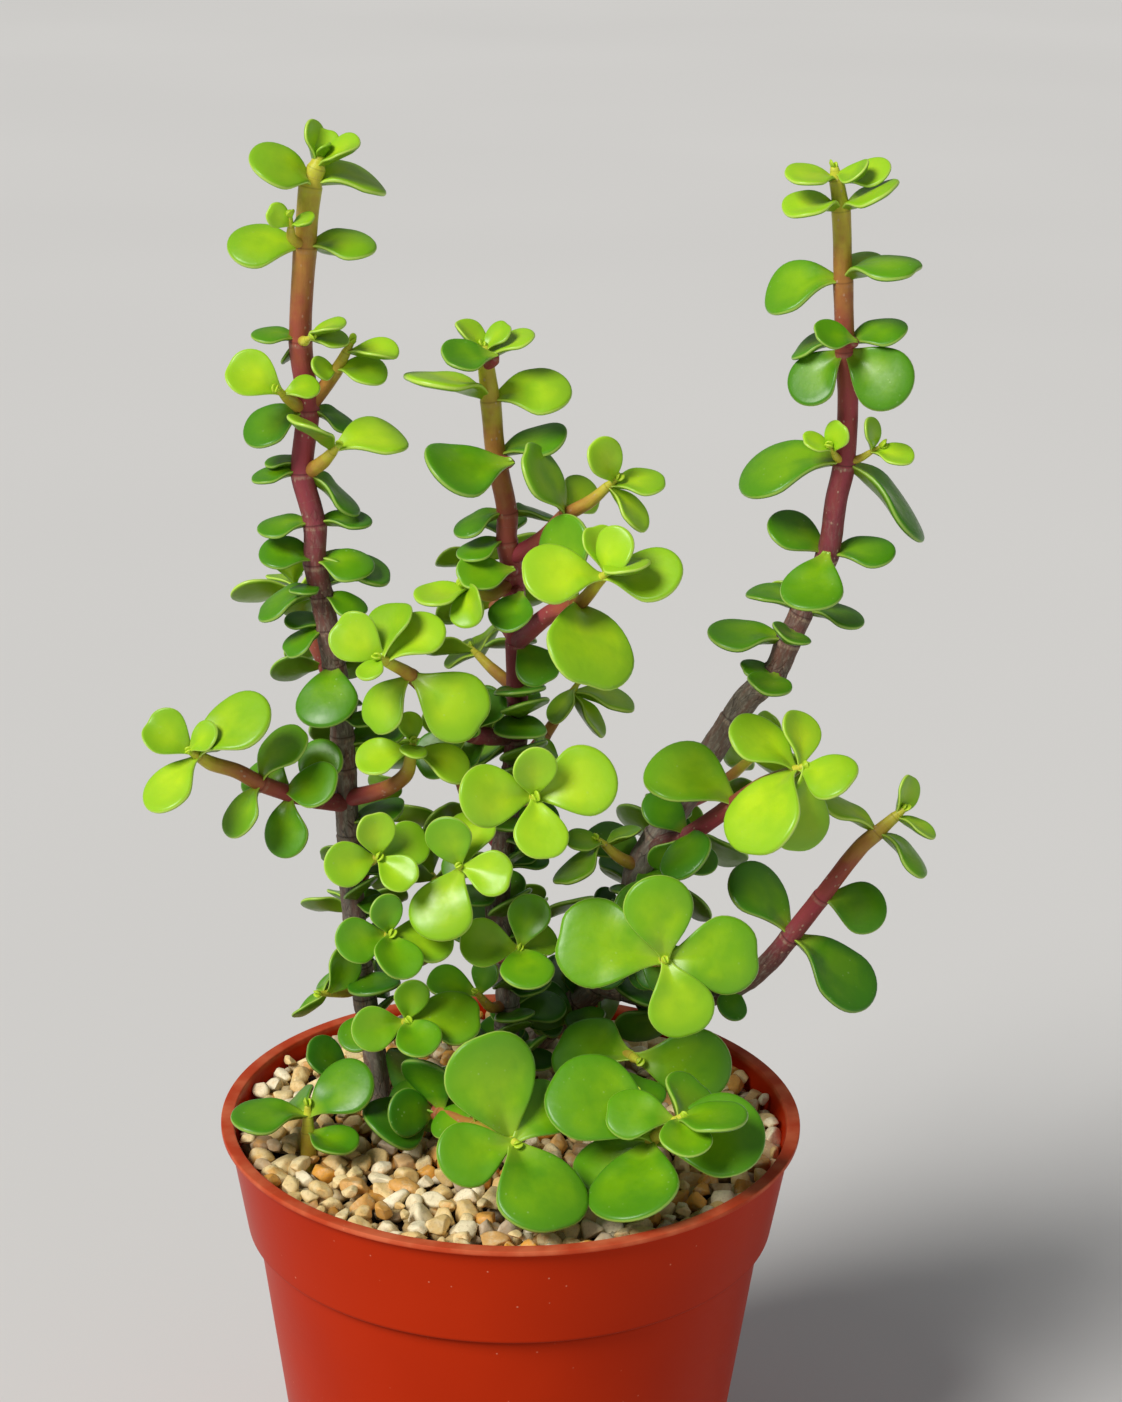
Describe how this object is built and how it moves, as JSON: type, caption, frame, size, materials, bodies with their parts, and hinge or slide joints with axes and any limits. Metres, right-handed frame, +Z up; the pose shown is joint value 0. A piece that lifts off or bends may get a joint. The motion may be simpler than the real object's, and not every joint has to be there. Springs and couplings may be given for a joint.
{
  "type": "potted elephant bush",
  "caption": "Upright succulent bush with thick round green leaves on branching stems, rooted in soil under gravel in a tapered plastic nursery pot.",
  "frame": {"origin": "centre of the flat underside of the pot", "axes": "+Z up along the pot's axis, +X to the plant's right and -Y to its front as pictured"},
  "size_m": [0.1376, 0.1098, 0.2657],
  "materials": {
    "pot_plastic": "terracotta red moulded plastic, semi-gloss",
    "soil": "dark, crumbly potting mix",
    "stone": "matt rounded gravel, cream to ochre",
    "foliage": "thick waxy leaves, satin to glossy",
    "bark": "thin bark, green at the tips and red-brown to grey below"
  },
  "bodies": {
    "root": {"pot": "pot_plastic", "potting_mix": "soil", "gravel": "stone", "left_plant": "foliage", "middle_plant": "foliage", "right_plant": "foliage", "seedling": "foliage", "front_cutting": "foliage", "right_cutting": "foliage"}
  },
  "joints": []
}
